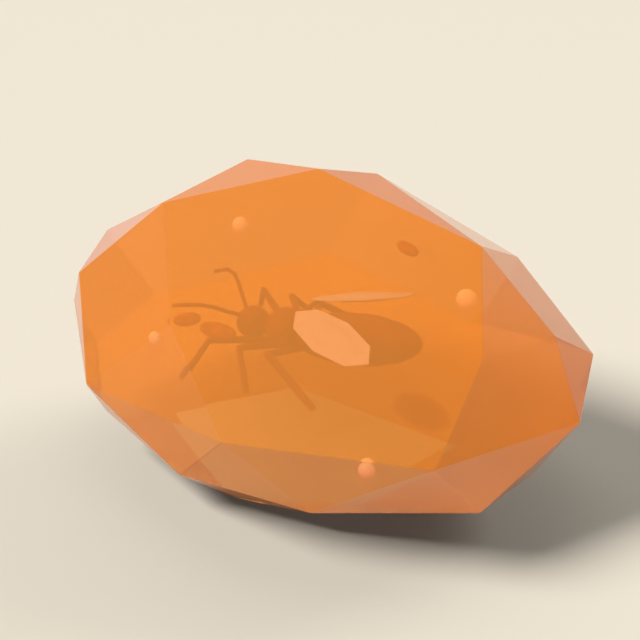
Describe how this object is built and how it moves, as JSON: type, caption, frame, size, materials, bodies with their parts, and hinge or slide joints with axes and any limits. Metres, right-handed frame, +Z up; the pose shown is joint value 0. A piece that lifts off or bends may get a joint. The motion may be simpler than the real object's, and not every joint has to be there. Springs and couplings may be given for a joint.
{
  "type": "insect in amber",
  "caption": "Faceted nugget of clear orange amber resting on a flat base, with a winged ant-like insect and small bark flecks sealed inside it.",
  "frame": {"origin": "on the resting surface, under the middle of the nugget's box", "axes": "+Z up from the flat base, +X along the nugget's length toward the insect's tail, -Y toward the front, where the large polished face slopes down"},
  "size_m": [0.0428, 0.0308, 0.02],
  "materials": {
    "amber": "polished clear amber, honey orange",
    "insect": "matt brown chitin",
    "bark": "rough dark bark"
  },
  "bodies": {
    "root": {"amber_upper": "amber", "amber_lower": "amber", "insect": "insect", "bark_fleck_1": "bark", "bark_fleck_2": "bark", "bark_fleck_3": "bark"}
  },
  "joints": []
}
